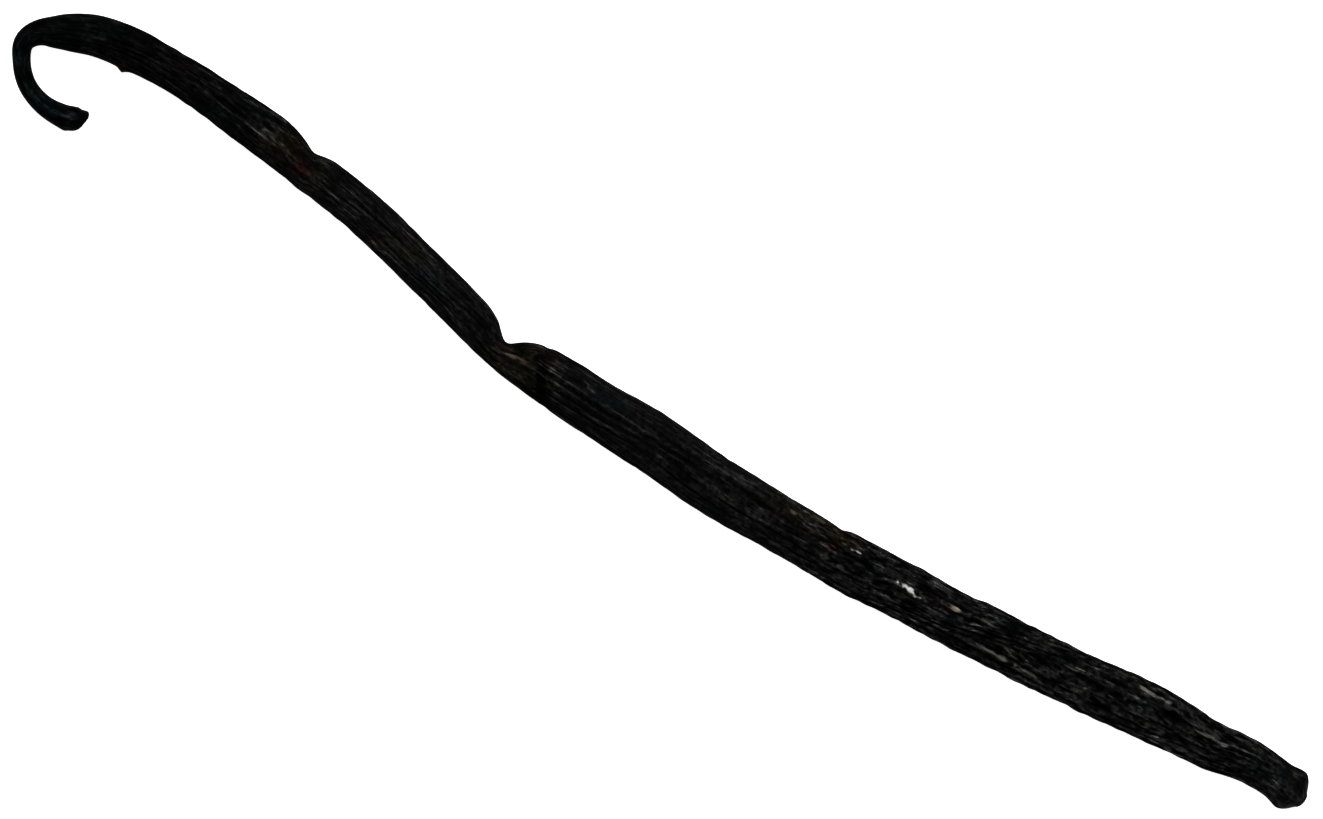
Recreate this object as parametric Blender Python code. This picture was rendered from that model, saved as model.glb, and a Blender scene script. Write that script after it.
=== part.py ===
"""Cured vanilla bean, lying on a flat surface. It grew as one piece, so it is one solid.

The skin is a grid of points. One way it follows the pod, from the torn end of the hooked stalk to the
blossom end, and the other way it goes round. Each point stands on an oval section, and is then sunk by the
long wrinkles of the dried skin and by the creases where the pod has folded. The underside is cut off flat
where the pod rests.

A station is a distance along the pod's middle line from the stalk's end. An angle goes round the pod: 0 at
its left edge looking towards the blossom end, a quarter turn at the top, half a turn at its right edge. A
bearing is the angle that a wrinkle would keep if it ran straight along the pod.
"""

import math
from typing import NamedTuple

import bpy
import numpy as np

# Metres in a millimetre: every length below is in millimetres
MM = 0.001
TURN = 2 * math.pi


class Wave(NamedTuple):
    """A wave over the skin: how many times it repeats round the pod, its length along it, and its start."""

    rounds: int
    length: float
    start: float


class Crease(NamedTuple):
    """A groove across a fold. It slants from the left edge to the right edge, and is shallower there."""

    station: float
    half_slant: float
    depth: float
    right_share: float
    half_width: float


# Middle line seen from above (x, y): round the hook of the stalk, then along the slack S of the pod
MIDDLE_LINE = (
    (-71.1, -6.1),
    (-73.3, -6.7),
    (-75.6, -6.7),
    (-78.3, -5.7),
    (-80.1, -3.8),
    (-80.8, -1.9),
    (-79.9, -0.1),
    (-78.3, 1.1),
    (-75.5, 2.4),
    (-71.5, 3.4),
    (-66.0, 3.8),
    (-58.0, 3.6),
    (-40.0, 1.6),
    (-24.0, -1.9),
    (-19.0, -3.1),
    (-15.0, -3.5),
    (-9.0, -3.4),
    (0.0, -3.5),
    (12.0, -3.9),
    (24.0, -3.6),
    (48.0, -1.9),
    (70.0, 0.3),
    (75.5, 0.8),
    (79.0, 0.7),
    (83.0, 0.0),
)
# Middle of the pod's bounding box in the same coordinates: it goes over the origin
BOX_MIDDLE = (0.52, -0.90)
# Points that the middle line is read at, to measure along it
LINE_STEPS = 6000

# Half widths at stations along the pod: station, to the left edge, to the right edge
HALF_WIDTHS = (
    (0.0, 1.25, 1.25),
    (1.0, 1.45, 1.45),
    (2.2, 1.30, 1.35),
    (4.5, 1.12, 1.14),
    (9.5, 0.97, 1.00),
    (11.5, 1.18, 0.95),
    (13.2, 1.45, 1.15),
    (15.0, 1.60, 1.70),
    (17.5, 2.05, 2.15),
    (20.5, 2.36, 2.26),
    (24.0, 2.40, 2.40),
    (29.0, 2.27, 2.24),
    (36.0, 2.44, 2.36),
    (42.5, 2.66, 2.58),
    (47.6, 1.95, 2.58),
    (50.5, 2.36, 2.50),
    (56.0, 2.52, 2.34),
    (64.0, 2.40, 2.40),
    (72.0, 2.40, 2.42),
    (74.6, 2.02, 2.34),
    (76.9, 1.08, 2.36),
    (78.6, 2.00, 2.46),
    (81.0, 3.02, 2.54),
    (84.0, 3.26, 2.90),
    (90.0, 3.18, 3.20),
    (97.0, 3.48, 3.24),
    (104.0, 3.32, 3.32),
    (113.0, 3.22, 3.08),
    (119.0, 3.08, 3.14),
    (122.5, 3.24, 3.32),
    (129.0, 3.26, 3.02),
    (136.0, 2.96, 3.24),
    (138.0, 3.20, 3.24),
    (148.0, 3.02, 3.16),
    (158.5, 3.26, 3.14),
    (163.0, 2.86, 3.00),
    (167.5, 2.40, 2.94),
    (171.0, 2.40, 2.50),
    (174.8, 2.26, 2.28),
    (176.8, 2.66, 2.52),
    (177.6, 2.20, 2.10),
    (178.5, 1.10, 1.00),
)
# Half the thickness at stations along the pod
HALF_HEIGHTS = (
    (0.0, 1.15),
    (1.0, 1.30),
    (2.5, 1.18),
    (5.0, 1.08),
    (10.0, 1.00),
    (14.0, 1.30),
    (18.0, 1.62),
    (24.0, 1.78),
    (36.0, 1.76),
    (43.0, 1.88),
    (47.8, 1.62),
    (52.0, 1.80),
    (72.0, 1.80),
    (77.2, 1.34),
    (82.0, 2.10),
    (86.0, 2.30),
    (97.0, 2.40),
    (120.0, 2.24),
    (126.0, 2.32),
    (158.0, 2.26),
    (167.0, 1.92),
    (174.5, 1.62),
    (176.8, 1.86),
    (177.6, 1.72),
    (178.5, 1.25),
)
# How far the underside stands over the surface it lies on, and below 0 how much of it is pressed flat
CLEARANCES = (
    (0.0, -0.10),
    (2.0, -0.08),
    (5.0, 0.25),
    (9.5, 0.55),
    (13.0, 0.30),
    (17.0, -0.04),
    (24.0, -0.14),
    (44.0, -0.14),
    (60.0, -0.03),
    (72.0, -0.03),
    (77.2, 0.15),
    (84.0, -0.10),
    (94.0, -0.15),
    (112.0, -0.15),
    (128.0, -0.03),
    (142.0, -0.03),
    (156.0, -0.15),
    (166.0, -0.10),
    (174.0, 0.08),
    (178.5, 0.40),
)

# The oblique end that the stalk tore off at: its slant, how far it stands past station 0, how far along the
# stalk that reaches, then the ring and the middle of the shallow hollow in its face
SCAR_SLANT = 0.4
SCAR_OVERHANG = 0.22
SCAR_REACH = 3.0
SCAR_RING_SHARE = 0.6
SCAR_RING_SINK = 0.20
SCAR_MIDDLE_SINK = 0.35
# The middle of the blossom end stands this far beyond the last section
BLOSSOM_CROWN = 0.45

# Long wrinkles: how many go round, and how deep their valleys are at stations along the pod
WRINKLES = 20
WRINKLE_DEPTHS = (
    (0.0, 0.0),
    (12.0, 0.03),
    (18.0, 0.16),
    (26.0, 0.28),
    (44.0, 0.26),
    (48.0, 0.20),
    (54.0, 0.30),
    (70.0, 0.28),
    (77.0, 0.16),
    (82.0, 0.18),
    (88.0, 0.40),
    (160.0, 0.42),
    (172.0, 0.26),
    (176.0, 0.10),
    (178.5, 0.0),
)
# The wrinkles wander round the pod in waves: the angle that each wave moves them by, and the wave
WANDERINGS = (
    (0.110, Wave(1, 61.0, 0.4)),
    (0.070, Wave(2, 37.0, 2.1)),
    (0.045, Wave(3, 23.0, 4.0)),
    (0.025, Wave(5, 14.0, 1.2)),
)
# They fade in and out by the product of two waves
FADES = (Wave(4, 33.0, 0.7), Wave(-7, 21.0, 2.0))
FADE_SHARE = 0.38
# The left edge is smoother, and the middle of the underside is pressed smooth: cosine and sine of the angle
LEFT_SMOOTHNESS = 0.45
LEFT_SMOOTH_FROM = 0.20
LEFT_SMOOTH_FULL = 0.90
UNDERSIDE_SMOOTH_FROM = -0.90
UNDERSIDE_SMOOTH_FULL = -0.985

# Creases of the three folds, and how far to each side of one the rows of points lean along it
CREASES = (
    Crease(47.4, 1.5, 0.34, 0.25, 1.0),
    Crease(77.4, 3.4, 0.45, 0.75, 1.2),
    Crease(119.6, 2.2, 0.22, 0.10, 0.9),
)
LEAN_REACH = 9.0
# Taut ridge of skin that runs along the top into the deepest crease
TAUT_STATION = 79.2
TAUT_ANGLE = 1.55
TAUT_HEIGHT = 0.28
TAUT_HALF_LENGTH = 2.4
TAUT_HALF_WIDTH = 0.30
# The three seed walls inside show as faint lobes, which turn slowly round the pod
LOBES = 3
LOBE_HEIGHT = 0.10
LOBE_TWIST = 240.0
LOBES_FROM = 16.0
LOBES_FULL = 26.0

# The knob at the blossom end has flat sides
KNOB_SIDES = 5
KNOB_FROM = 173.5
KNOB_FULL = 176.5
KNOB_SHARE = 0.65
KNOB_BEARING = 0.35

# The grid: columns for each wrinkle, the first one in its valley, and rows counted at stations
COLUMNS_PER_WRINKLE = 3
ROW_STATIONS = (0.0, 2.5, 9.0, 15.5, 43.0, 52.0, 73.0, 87.0, 164.0, 174.0, 178.5)
ROW_COUNTS = (0, 3, 8, 15, 24, 31, 38, 50, 74, 78, 85)

SKIN_COLOUR = (0.012, 0.009, 0.008, 1.0)
SKIN_ROUGHNESS = 0.42


def smooth_through(marks, values, at, level_peaks):
    """Reads values given at marks on a cubic curve, which heads along the mean of the chords at each mark.

    With level_peaks it is level at a peak and never steeper than three times a chord: it never overshoots.
    """
    marks = np.asarray(marks, float)
    values = np.asarray(values, float).reshape(len(marks), -1)
    gaps = np.diff(marks)[:, None]
    chords = np.diff(values, axis=0) / gaps
    inner = (gaps[:-1] * chords[1:] + gaps[1:] * chords[:-1]) / (gaps[:-1] + gaps[1:])
    if level_peaks:
        steepest = 3 * np.minimum(np.abs(chords[:-1]), np.abs(chords[1:]))
        one_way = chords[:-1] * chords[1:] > 0
        inner = np.where(one_way, np.clip(inner, -steepest, steepest), 0.0)
    slopes = np.concatenate([chords[:1], inner, chords[-1:]])
    first = np.clip(np.searchsorted(marks, at, side="right") - 1, 0, len(marks) - 2)
    gap = gaps[first]
    t = (np.asarray(at) - marks[first])[:, None] / gap
    start = (1 + 2 * t) * (1 - t) ** 2 * values[first] + t * (1 - t) ** 2 * gap * slopes[first]
    end = t * t * (3 - 2 * t) * values[first + 1] + t * t * (t - 1) * gap * slopes[first + 1]
    return start + end


def at_stations(table, stations):
    """Reads a table whose rows start with a station, as one array for each further entry of a row."""
    table = np.array(table)
    read = smooth_through(table[:, 0], table[:, 1:], stations.ravel(), level_peaks=True)
    return read.T.reshape(-1, *stations.shape)


def ramp(value, start, full):
    """Goes smoothly from 0 at start to 1 at full."""
    t = np.clip((value - start) / (full - start), 0.0, 1.0)
    return t * t * (3 - 2 * t)


def wave_height(wave, stations, bearings):
    """Height of a wave that goes round the pod and along it, from -1 to 1."""
    return np.sin(wave.rounds * bearings + TURN * stations / wave.length + wave.start)


def middle_line(stations):
    """Points of the middle line at the stations, and its unit headings there."""
    line = np.array(MIDDLE_LINE) - np.array(BOX_MIDDLE)
    marks = np.concatenate([[0.0], np.cumsum(np.hypot(*np.diff(line, axis=0).T))])
    along = np.linspace(0.0, marks[-1], LINE_STEPS)
    points = smooth_through(marks, line, along, level_peaks=False)
    lengths = np.concatenate([[0.0], np.cumsum(np.hypot(*np.diff(points, axis=0).T))])
    headings = np.gradient(points, lengths, axis=0)
    point = np.stack([np.interp(stations, lengths, points[:, k]) for k in (0, 1)], axis=-1)
    heading = np.stack([np.interp(stations, lengths, headings[:, k]) for k in (0, 1)], axis=-1)
    return point, heading / np.linalg.norm(heading, axis=-1, keepdims=True)


def wandered(stations, bearings):
    """Angles of the points: their bearings, moved round the pod by the wandering of the wrinkles."""
    return bearings + sum(moved * wave_height(wave, stations, bearings) for moved, wave in WANDERINGS)


def wrinkle_depth(stations, bearings, angles):
    """How deep each point lies below the crests: 0 on a crest, and deepest in the valley between two."""
    place = (WRINKLES * bearings / TURN) % 1.0
    valley = (2 * place - 1) ** 2
    product = wave_height(FADES[0], stations, bearings) * wave_height(FADES[1], stations, bearings)
    fade = 1 + FADE_SHARE * (product - 1)
    left = 1 - LEFT_SMOOTHNESS * ramp(np.cos(angles), LEFT_SMOOTH_FROM, LEFT_SMOOTH_FULL)
    underside = 1 - ramp(np.sin(angles), UNDERSIDE_SMOOTH_FROM, UNDERSIDE_SMOOTH_FULL)
    return at_stations(WRINKLE_DEPTHS, stations)[0] * valley * fade * left * underside


def leaning(rows, angles):
    """Stations of the points of each row, which run along the creases near them."""
    lean = sum(
        crease.half_slant * np.exp(-(((rows - crease.station) / LEAN_REACH) ** 2)) for crease in CREASES
    )
    return rows + lean * (1 - np.cos(angles))


def crease_depth(stations, angles):
    """Oblique grooves across the folds, from the left edge round both faces to the right edge."""
    depth = np.zeros(stations.shape)
    leftness = (1 + np.cos(angles)) / 2
    for crease in CREASES:
        middle = crease.station + crease.half_slant * (1 - np.cos(angles))
        away = (stations - middle) / crease.half_width
        share = crease.right_share + (1 - crease.right_share) * leftness
        depth += crease.depth * share * np.exp(-away * away)
    return depth


def taut_ridge(stations, angles):
    """Height of the stretched ridge of skin that runs into the deepest crease."""
    along = (stations - TAUT_STATION) / TAUT_HALF_LENGTH
    across = (angles - TAUT_ANGLE) / TAUT_HALF_WIDTH
    return TAUT_HEIGHT * np.exp(-(along**4) - across**2)


def lobes(stations, angles):
    """Height of the faint lobes over the seed walls."""
    turned = LOBES * angles + TURN * stations / LOBE_TWIST
    fade = ramp(stations, LOBES_FROM, LOBES_FULL) * (1 - ramp(stations, KNOB_FROM, KNOB_FULL))
    return LOBE_HEIGHT * fade * np.cos(turned)


def knob_shape(stations, angles):
    """Share of the oval's radius that the flat sides of the knob leave."""
    side = TURN / KNOB_SIDES
    within = (angles - KNOB_BEARING) % side - side / 2
    flat = np.cos(side / 2) / np.cos(within)
    share = KNOB_SHARE * ramp(stations, KNOB_FROM, KNOB_FULL)
    # The sides swell a little past the oval, so that the knob keeps its width
    return 1 + share * (flat / np.cos(side / 4) - 1)


def skin_points(rows, bearings):
    """Points of the skin, for a column of row stations and a row of bearings."""
    stations = leaning(rows, wandered(rows, bearings))
    angles = wandered(stations, bearings)
    left, right = at_stations(HALF_WIDTHS, stations)
    height = at_stations(HALF_HEIGHTS, stations)[0]
    half = (left + right) / 2
    out_across = np.cos(angles) / half
    out_up = np.sin(angles) / height
    size = np.hypot(out_across, out_up)
    sunk = wrinkle_depth(stations, bearings, angles) + crease_depth(stations, angles)
    sunk -= taut_ridge(stations, angles) + lobes(stations, angles)
    knob = knob_shape(stations, angles)
    across = (left - right) / 2 + half * knob * np.cos(angles) - sunk * out_across / size
    up = height * knob * np.sin(angles) - sunk * out_up / size
    rise = np.maximum(height + at_stations(CLEARANCES, stations)[0] + up, 0.0)
    point, heading = middle_line(stations)
    sideways = np.stack([-heading[..., 1], heading[..., 0]], axis=-1)
    forward = (SCAR_SLANT * across - SCAR_OVERHANG) * (1 - ramp(stations, 0.0, SCAR_REACH))
    plan = point + across[..., None] * sideways + forward[..., None] * heading
    return np.concatenate([plan, rise[..., None]], axis=-1)


def middle_of(ring, heading, forward):
    """The middle of a ring of points, moved forward along a heading."""
    return ring.mean(axis=0) + forward * np.append(heading, 0.0)


def pod_points():
    """Every point of the pod: the middle of the scar, the rows of the skin, the middle of the blossom end."""
    rows = np.interp(np.arange(ROW_COUNTS[-1] + 1), ROW_COUNTS, ROW_STATIONS)[:, None]
    round_pod = WRINKLES * COLUMNS_PER_WRINKLE
    bearings = TURN * np.arange(round_pod)[None, :] / round_pod
    skin = skin_points(rows, bearings)
    headings = middle_line(np.array([ROW_STATIONS[0], ROW_STATIONS[-1]]))[1]
    scar = middle_of(skin[0], headings[0], SCAR_MIDDLE_SINK)
    rim_middle = middle_of(skin[0], headings[0], SCAR_RING_SINK)
    scar_ring = rim_middle + SCAR_RING_SHARE * (skin[0] - skin[0].mean(axis=0))
    crown = middle_of(skin[-1], headings[1], BLOSSOM_CROWN)
    return scar, np.concatenate([scar_ring[None], skin]), crown


def pod_faces(rows, columns):
    """Faces of a closed tube of rows and columns. Point 0 closes its first row, the last point its last."""
    grid = 1 + np.arange(rows * columns).reshape(rows, columns)
    onward = np.roll(grid, -1, axis=1)
    quads = np.stack([grid[:-1], onward[:-1], onward[1:], grid[1:]], axis=-1).reshape(-1, 4)
    start = [(0, b, a) for a, b in zip(grid[0].tolist(), onward[0].tolist())]
    last = rows * columns + 1
    end = [(last, a, b) for a, b in zip(grid[-1].tolist(), onward[-1].tolist())]
    return start + quads.tolist() + end


def skin_material():
    """Near-black, oily brown skin."""
    material = bpy.data.materials.new("cured_skin")
    material.use_nodes = True
    shader = material.node_tree.nodes["Principled BSDF"]
    shader.inputs["Base Color"].default_value = SKIN_COLOUR
    shader.inputs["Roughness"].default_value = SKIN_ROUGHNESS
    shader.inputs["Metallic"].default_value = 0.0
    return material


def make_pod():
    """The whole bean, as one closed mesh object."""
    first, rows, last = pod_points()
    points = np.concatenate([first[None], rows.reshape(-1, 3), last[None]]) * MM
    mesh = bpy.data.meshes.new("vanilla_pod")
    mesh.from_pydata(points.tolist(), [], pod_faces(*rows.shape[:2]))
    mesh.validate()
    mesh.shade_smooth()
    mesh.materials.append(skin_material())
    pod = bpy.data.objects.new("vanilla_pod", mesh)
    bpy.context.scene.collection.objects.link(pod)
    return pod


def clear_scene():
    """Removes whatever the scene starts with."""
    for thing in list(bpy.data.objects):
        bpy.data.objects.remove(thing, do_unlink=True)


clear_scene()
make_pod()
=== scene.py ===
"""Looks of a cured vanilla bean that lies on a plain pale floor, in soft studio light, seen from above.

The bean grew as one piece, so one fine mesh stands for the whole of it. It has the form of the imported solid,
worked out by the same formulas from the same sizes, with the smaller creases, crumples and scars of the dried
skin added.

Lengths are in millimetres until a mesh is made. A station is a distance along the pod's middle line from the
stalk's end. An angle goes round the pod: 0 at its left edge looking towards the blossom end, a quarter turn
at the top, half a turn at its right edge. A bearing is the angle that a wrinkle would keep if it ran straight
along the pod.
"""

import logging
import math
from collections.abc import Sequence
from dataclasses import dataclass
from enum import Enum

import bpy
import numpy as np
from mathutils import Matrix, Vector


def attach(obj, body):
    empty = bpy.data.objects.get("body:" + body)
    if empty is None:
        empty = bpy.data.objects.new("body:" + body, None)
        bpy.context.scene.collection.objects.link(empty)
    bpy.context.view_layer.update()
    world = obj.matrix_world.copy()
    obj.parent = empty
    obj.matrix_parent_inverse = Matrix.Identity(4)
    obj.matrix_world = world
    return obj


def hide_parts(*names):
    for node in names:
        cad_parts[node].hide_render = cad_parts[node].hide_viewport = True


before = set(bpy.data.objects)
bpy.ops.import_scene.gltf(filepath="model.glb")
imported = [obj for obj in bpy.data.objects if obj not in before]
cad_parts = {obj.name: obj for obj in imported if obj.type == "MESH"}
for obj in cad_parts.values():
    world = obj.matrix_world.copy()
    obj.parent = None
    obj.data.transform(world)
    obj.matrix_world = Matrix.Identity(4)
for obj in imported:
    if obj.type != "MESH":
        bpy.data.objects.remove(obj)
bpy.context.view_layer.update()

LOG = logging.getLogger("vanilla_bean")
# Metres in a millimetre
MM = 0.001
TURN = 2 * math.pi
# Width of the photograph's frame in pixels
PHOTO_WIDTH = 1323
# Middle of the values that a noise node gives
NOISE_MIDDLE = 0.5
# Share that keeps a mean over patches from dividing by 0 where there are none
TRACE = 1e-6

Table = tuple[tuple[float, ...], ...]
Colour = tuple[float, float, float]
Span = tuple[float, float]
Socket = bpy.types.NodeSocket


def smooth_through(marks: np.ndarray, values: np.ndarray, at: np.ndarray, level_peaks: bool) -> np.ndarray:
    """Reads values given at marks on a cubic curve, which heads along the mean of the chords at each mark.

    Args:
        marks: rising places at which the values are given.
        values: one row of values for each mark.
        at: places to read the curve at.
        level_peaks: makes the curve level at a peak and never steeper than three times a chord.

    Returns:
        One row of values for each place in at.
    """
    marks = np.asarray(marks, float)
    values = np.asarray(values, float).reshape(len(marks), -1)
    gaps = np.diff(marks)[:, None]
    chords = np.diff(values, axis=0) / gaps
    inner = (gaps[:-1] * chords[1:] + gaps[1:] * chords[:-1]) / (gaps[:-1] + gaps[1:])
    if level_peaks:
        steepest = 3 * np.minimum(np.abs(chords[:-1]), np.abs(chords[1:]))
        one_way = chords[:-1] * chords[1:] > 0
        inner = np.where(one_way, np.clip(inner, -steepest, steepest), 0.0)
    slopes = np.concatenate([chords[:1], inner, chords[-1:]])
    first = np.clip(np.searchsorted(marks, at, side="right") - 1, 0, len(marks) - 2)
    gap = gaps[first]
    t = (np.asarray(at) - marks[first])[:, None] / gap
    start = (1 + 2 * t) * (1 - t) ** 2 * values[first] + t * (1 - t) ** 2 * gap * slopes[first]
    end = t * t * (3 - 2 * t) * values[first + 1] + t * t * (t - 1) * gap * slopes[first + 1]
    return start + end


def at_stations(table: Table, stations: np.ndarray) -> np.ndarray:
    """Reads a table whose rows start with a station.

    Args:
        table: rows of a station and the values there.
        stations: stations to read it at, as an array of any shape.

    Returns:
        One array of that shape for each value of a row, stacked.
    """
    rows = np.array(table)
    read = smooth_through(rows[:, 0], rows[:, 1:], stations.ravel(), level_peaks=True)
    return read.T.reshape(-1, *stations.shape)


def ramp(value: np.ndarray, start: float, full: float) -> np.ndarray:
    """Goes smoothly from 0 at start to 1 at full."""
    t = np.clip((value - start) / (full - start), 0.0, 1.0)
    return t * t * (3 - 2 * t)


@dataclass(frozen=True)
class Wave:
    """A wave over the skin.

    rounds is how many times it repeats round the pod, length is its length along the pod, and start is its
    angle at the stalk's end.
    """

    rounds: int
    length: float
    start: float

    def height(self, stations: np.ndarray, bearings: np.ndarray) -> np.ndarray:
        """Height from -1 to 1: the sine of the turns round the pod and along it."""
        return np.sin(self.rounds * bearings + TURN * stations / self.length + self.start)


@dataclass(frozen=True)
class Crease:
    """A groove across a fold. It slants from left to right, and has a share of its depth on the right."""

    station: float
    half_slant: float
    depth: float
    right_share: float
    half_width: float

    def away(self, stations: np.ndarray, angles: np.ndarray) -> np.ndarray:
        """Distance along the pod from the groove's middle, in half widths."""
        return (stations - self.station - self.half_slant * (1 - np.cos(angles))) / self.half_width

    def depth_at(self, stations: np.ndarray, angles: np.ndarray) -> np.ndarray:
        """Depth of the groove: a bell curve across it, changing evenly from the left edge to the right edge.

        Args:
            stations: stations of the points.
            angles: angles of the points.

        Returns:
            How deep each point lies below the skin round it.
        """
        share = self.right_share + (1 - self.right_share) * (1 + np.cos(angles)) / 2
        return self.depth * share * np.exp(-self.away(stations, angles) ** 2)


@dataclass(frozen=True)
class Bell:
    """A place where the skin stands out."""

    station: float
    angle: float
    height: float
    half_length: float
    half_width: float
    # Power of the distance along the pod: 2 makes the top round, less makes it pointed, more makes it flat
    sharpness: float

    def height_at(self, stations: np.ndarray, angles: np.ndarray) -> np.ndarray:
        """Height of the place: it falls off by a power of the distance along the pod and its square round it.

        Args:
            stations: stations of the points.
            angles: angles of the points.

        Returns:
            How far each point stands out.
        """
        along = np.abs(stations - self.station) / self.half_length
        across = (angles - self.angle) / self.half_width
        return self.height * np.exp(-(along**self.sharpness) - across**2)


@dataclass(frozen=True)
class SkinNoise:
    """Smooth seeded noise over the skin, in cells that go round the pod a whole number of times."""

    seed: int
    cells_round: int
    cell_length: float
    # Last station that the cells have to reach, and how sharply a crease of the noise narrows downwards
    reach: float = 190.0
    crease_power: float = 1.5

    def height(self, stations: np.ndarray, bearings: np.ndarray) -> np.ndarray:
        """Height of the noise: each corner of a cell has a random slope, and a point blends four smoothly.

        Args:
            stations: stations of the points.
            bearings: bearings of the points.

        Returns:
            A height for each point, from about -1 to 1.
        """
        draw = np.random.default_rng(self.seed)
        rows = math.ceil(self.reach / self.cell_length) + 2
        slopes = draw.uniform(0.0, TURN, (rows, self.cells_round))
        along = stations / self.cell_length
        around = self.cells_round * bearings / TURN
        row = np.floor(along).astype(int)
        column = np.floor(around).astype(int)
        height = np.zeros(np.broadcast(stations, bearings).shape)
        for down in (0, 1):
            for over in (0, 1):
                a = along - row - down
                b = around - column - over
                slope = slopes[row + down, (column + over) % self.cells_round]
                share = (1 - ramp(np.abs(a), 0.0, 1.0)) * (1 - ramp(np.abs(b), 0.0, 1.0))
                height += share * (a * np.cos(slope) + b * np.sin(slope))
        return height * math.sqrt(2)

    def creases(self, stations: np.ndarray, bearings: np.ndarray, width: float) -> np.ndarray:
        """Depth from 0 to 1 of narrow lines that wander where the noise passes through 0."""
        return np.clip(1 - np.abs(self.height(stations, bearings)) / width, 0.0, 1.0) ** self.crease_power


@dataclass(frozen=True)
class PodForm:
    """Main form of the pod: the sizes and the formula of its solid, in millimetres."""

    # Middle line seen from above (x, y): round the hook of the stalk, then along the slack S of the pod
    line: Table = (
        (-71.1, -6.1), (-73.3, -6.7), (-75.6, -6.7), (-78.3, -5.7), (-80.1, -3.8), (-80.8, -1.9),
        (-79.9, -0.1), (-78.3, 1.1), (-75.5, 2.4), (-71.5, 3.4), (-66.0, 3.8), (-58.0, 3.6),
        (-40.0, 1.6), (-24.0, -1.9), (-19.0, -3.1), (-15.0, -3.5), (-9.0, -3.4), (0.0, -3.5),
        (12.0, -3.9), (24.0, -3.6), (48.0, -1.9), (70.0, 0.3), (75.5, 0.8), (79.0, 0.7), (83.0, 0.0),
    )
    # Middle of the pod's bounding box in the same coordinates: it goes over the origin
    box_middle: tuple[float, float] = (0.52, -0.90)
    # How many points the length of the middle line is measured at
    line_steps: int = 6000
    # Station, then half the width to the left edge and to the right edge
    half_widths: Table = (
        (0.0, 1.25, 1.25), (1.0, 1.45, 1.45), (2.2, 1.30, 1.35), (4.5, 1.12, 1.14), (9.5, 0.97, 1.00),
        (11.5, 1.18, 0.95), (13.2, 1.45, 1.15), (15.0, 1.60, 1.70), (17.5, 2.05, 2.15), (20.5, 2.36, 2.26),
        (24.0, 2.40, 2.40), (29.0, 2.27, 2.24), (36.0, 2.44, 2.36), (42.5, 2.66, 2.58), (47.6, 1.95, 2.58),
        (50.5, 2.36, 2.50), (56.0, 2.52, 2.34), (64.0, 2.40, 2.40), (72.0, 2.40, 2.42), (74.6, 2.02, 2.34),
        (76.9, 1.08, 2.36), (78.6, 2.00, 2.46), (81.0, 3.02, 2.54), (84.0, 3.26, 2.90), (90.0, 3.18, 3.20),
        (97.0, 3.48, 3.24), (104.0, 3.32, 3.32), (113.0, 3.22, 3.08), (119.0, 3.08, 3.14),
        (122.5, 3.24, 3.32), (129.0, 3.26, 3.02), (136.0, 2.96, 3.24), (138.0, 3.20, 3.24),
        (148.0, 3.02, 3.16), (158.5, 3.26, 3.14), (163.0, 2.86, 3.00), (167.5, 2.40, 2.94),
        (171.0, 2.40, 2.50), (174.8, 2.26, 2.28), (176.8, 2.66, 2.52), (177.6, 2.20, 2.10),
        (178.5, 1.10, 1.00),
    )
    # Station, then half the thickness
    half_heights: Table = (
        (0.0, 1.15), (1.0, 1.30), (2.5, 1.18), (5.0, 1.08), (10.0, 1.00), (14.0, 1.30), (18.0, 1.62),
        (24.0, 1.78), (36.0, 1.76), (43.0, 1.88), (47.8, 1.62), (52.0, 1.80), (72.0, 1.80), (77.2, 1.34),
        (82.0, 2.10), (86.0, 2.30), (97.0, 2.40), (120.0, 2.24), (126.0, 2.32), (158.0, 2.26),
        (167.0, 1.92), (174.5, 1.62), (176.8, 1.86), (177.6, 1.72), (178.5, 1.25),
    )
    # Station, then how far the underside stands over the floor: below 0 that much of it is pressed flat
    clearances: Table = (
        (0.0, -0.10), (2.0, -0.08), (5.0, 0.25), (9.5, 0.55), (13.0, 0.30), (17.0, -0.04), (24.0, -0.14),
        (44.0, -0.14), (60.0, -0.03), (72.0, -0.03), (77.2, 0.15), (84.0, -0.10), (94.0, -0.15),
        (112.0, -0.15), (128.0, -0.03), (142.0, -0.03), (156.0, -0.15), (166.0, -0.10), (174.0, 0.08),
        (178.5, 0.40),
    )
    # The stalk's torn, oblique end: lean per millimetre to the left, shift outwards, and reach of both
    scar_slant: float = 0.4
    scar_overhang: float = 0.22
    scar_reach: float = 3.0
    # Long wrinkles: how many go round, and at each station how deep their valleys are
    wrinkles: int = 20
    wrinkle_depths: Table = (
        (0.0, 0.0), (12.0, 0.03), (18.0, 0.16), (26.0, 0.28), (44.0, 0.26), (48.0, 0.20), (54.0, 0.30),
        (70.0, 0.28), (77.0, 0.16), (82.0, 0.18), (88.0, 0.40), (160.0, 0.42), (172.0, 0.26), (176.0, 0.10),
        (178.5, 0.0),
    )
    # The wrinkles wander round the pod in waves, and fade in and out by the product of two waves
    wanderings: tuple[tuple[float, Wave], ...] = (
        (0.110, Wave(1, 61.0, 0.4)), (0.070, Wave(2, 37.0, 2.1)),
        (0.045, Wave(3, 23.0, 4.0)), (0.025, Wave(5, 14.0, 1.2)),
    )
    fades: tuple[Wave, Wave] = (Wave(4, 33.0, 0.7), Wave(-7, 21.0, 2.0))
    fade_share: float = 0.38
    # The left edge is smoother, by the cosine of the angle
    left_smoothness: float = 0.45
    left_smooth: Span = (0.20, 0.90)
    # The middle of the underside is pressed smooth, by the sine of the angle
    underside_smooth: Span = (-0.90, -0.985)
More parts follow.
